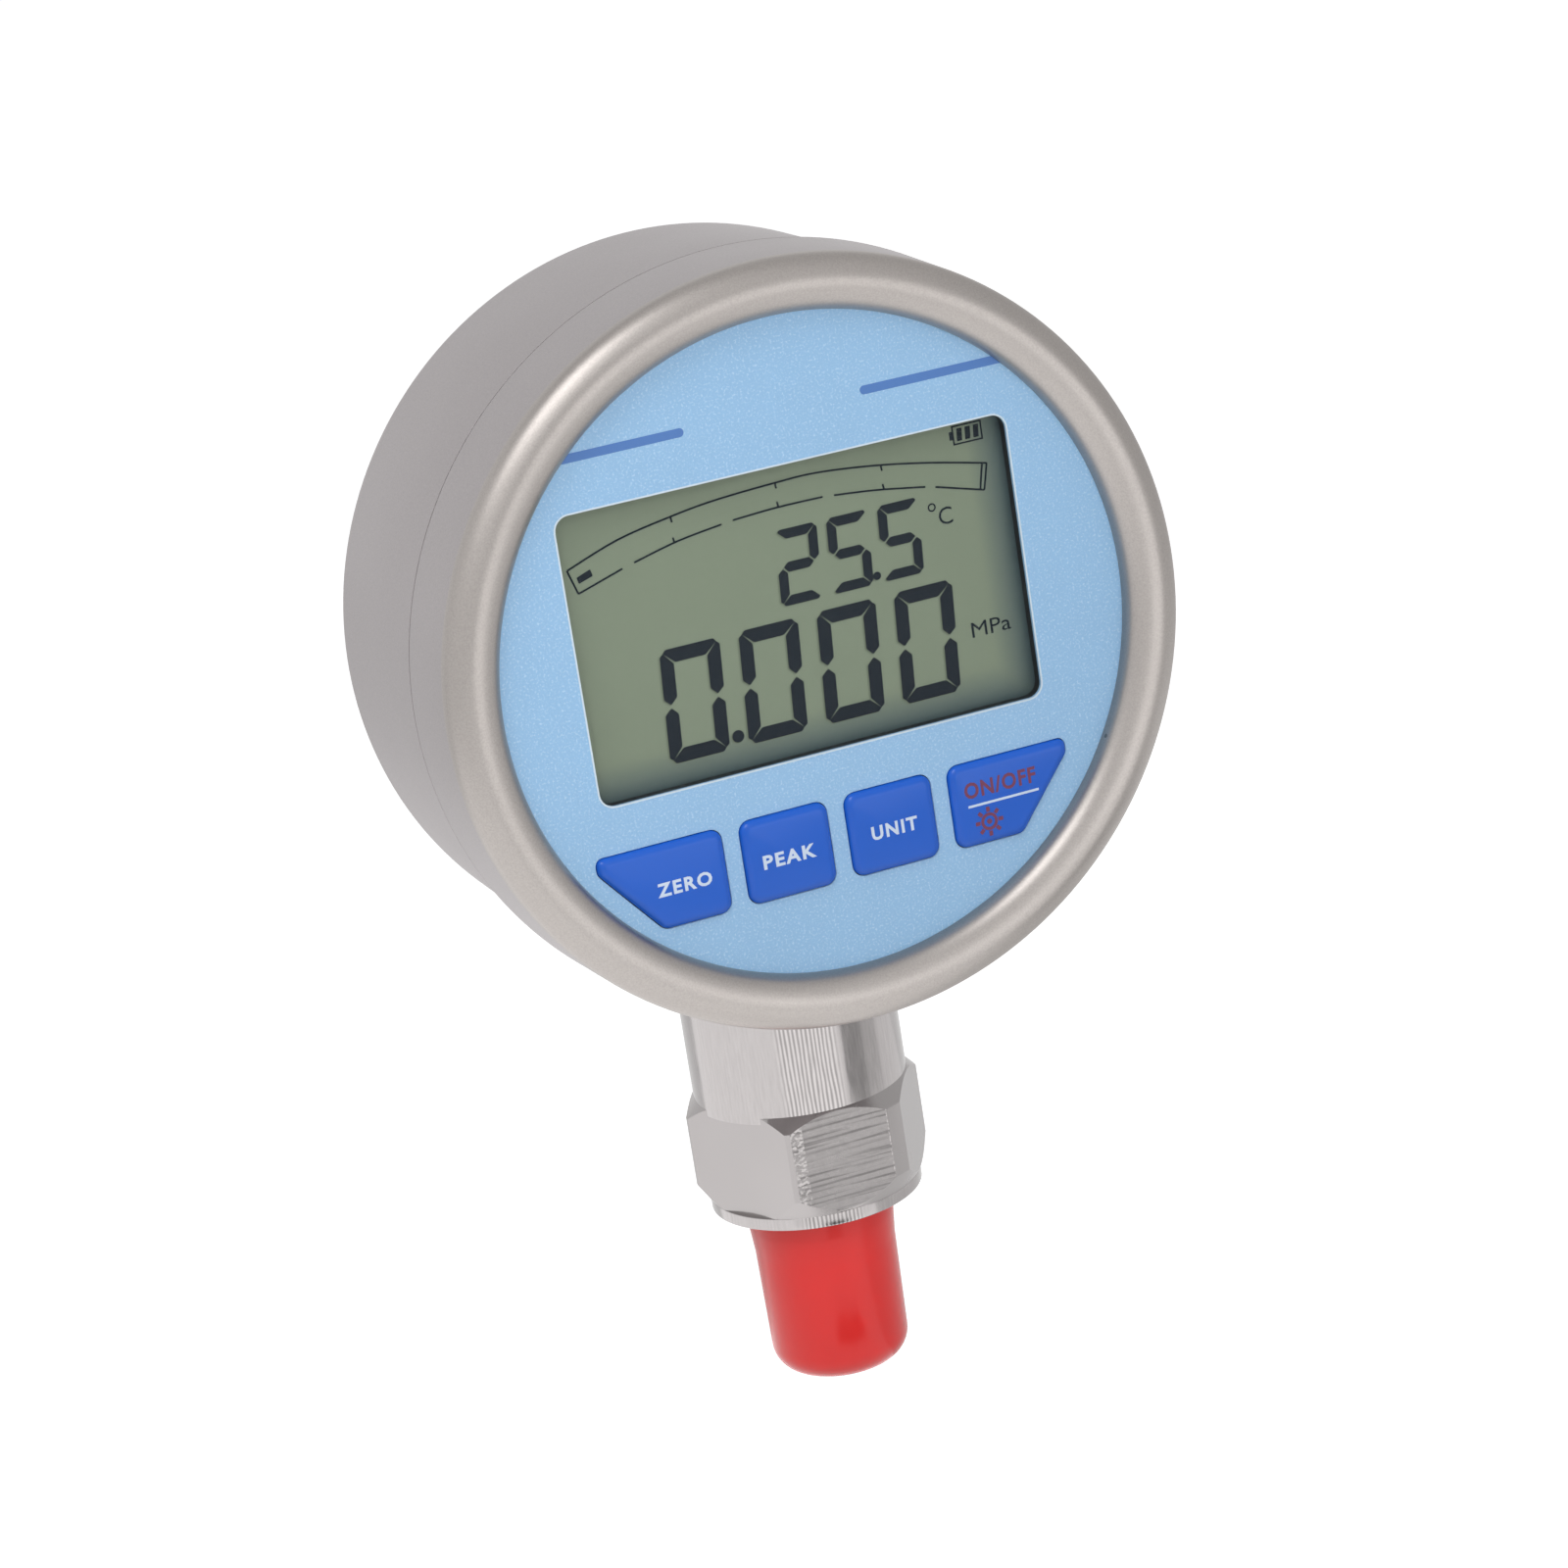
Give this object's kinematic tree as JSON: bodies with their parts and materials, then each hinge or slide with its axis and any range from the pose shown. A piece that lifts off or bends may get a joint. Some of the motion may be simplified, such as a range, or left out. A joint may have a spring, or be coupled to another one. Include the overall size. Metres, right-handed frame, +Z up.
{
  "type": "digital pressure gauge",
  "caption": "Round digital pressure gauge in a steel case, with a display, blue keys and a hexagon stem whose threaded end wears a red push-on cap.",
  "frame": {"origin": "on the thread axis, at the sealing shoulder under the hexagon", "axes": "+Z up the stem to the case, the face looks along -Y, +X to the right of someone reading it"},
  "size_m": [0.1106, 0.0604, 0.1763],
  "materials": {
    "case_steel": "satin, bead blasted",
    "ring_steel": "satin, fine turned",
    "stem_steel": "machined",
    "screw_steel": "bright",
    "seal_rubber": "matt",
    "face_print": "fine pebble",
    "grey_plastic": "moulded",
    "clear_pane": "clear",
    "black_plastic": "moulded",
    "display_green": "reflective display",
    "white_plastic": "moulded",
    "strip_rubber": "matt",
    "key_blue": "embossed, glossy",
    "board_green": "solder mask",
    "ivory_plastic": "moulded",
    "lead_grey": "smooth",
    "cell_wrap": "shrink wrap",
    "contact_brass": "bright",
    "cap_red": "soft gloss"
  },
  "bodies": {
    "gauge": {"rear_case": "case_steel", "front_ring": "ring_steel", "ring_seal": "seal_rubber", "face_sheet": "face_print", "face_plate": "grey_plastic", "window_pane": "clear_pane", "display_frame": "black_plastic", "display_glass": "display_green", "backlight": "white_plastic", "contact_strips": "strip_rubber", "switch_bodies": "black_plastic", "main_board": "board_green", "board_screws": "screw_steel", "board_chips": "black_plastic", "board_headers": "ivory_plastic", "sensor_plug": "ivory_plastic", "battery_plug": "ivory_plastic", "sensor_lead": "lead_grey", "battery_lead": "lead_grey", "battery_tray": "grey_plastic", "battery_cells": "cell_wrap", "contact_plates": "contact_brass", "contact_springs": "contact_brass", "cover_gasket": "seal_rubber", "battery_cover": "case_steel", "cover_screws": "screw_steel", "process_stem": "stem_steel", "stem_seal": "seal_rubber", "clamp_saddle": "stem_steel", "lock_nut": "stem_steel", "sensor_capsule": "stem_steel", "sensor_o_ring": "seal_rubber", "sensor_retainer": "contact_brass"},
    "zero_key": {"key_zero": "key_blue", "plunger_zero": "white_plastic"},
    "peak_key": {"key_peak": "key_blue", "plunger_peak": "white_plastic"},
    "unit_key": {"key_unit": "key_blue", "plunger_unit": "white_plastic"},
    "power_key": {"key_power": "key_blue", "plunger_power": "white_plastic"},
    "cap": {"thread_cap": "cap_red"}
  },
  "joints": [
    {"name": "zero_press", "type": "slide", "parent": "gauge", "child": "zero_key", "axis": [0, 1, 0], "range_m": [0, 0.0005], "stiffness_N_per_m": 1000, "springref_m": -0.0005},
    {"name": "peak_press", "type": "slide", "parent": "gauge", "child": "peak_key", "axis": [0, 1, 0], "range_m": [0, 0.0005], "stiffness_N_per_m": 1000, "springref_m": -0.0005},
    {"name": "unit_press", "type": "slide", "parent": "gauge", "child": "unit_key", "axis": [0, 1, 0], "range_m": [0, 0.0005], "stiffness_N_per_m": 1000, "springref_m": -0.0005},
    {"name": "power_press", "type": "slide", "parent": "gauge", "child": "power_key", "axis": [0, 1, 0], "range_m": [0, 0.0005], "stiffness_N_per_m": 1000, "springref_m": -0.0005},
    {"name": "cap_pull", "type": "slide", "parent": "gauge", "child": "cap", "axis": [0, 0, -1], "range_m": [0, 0.03]}
  ]
}
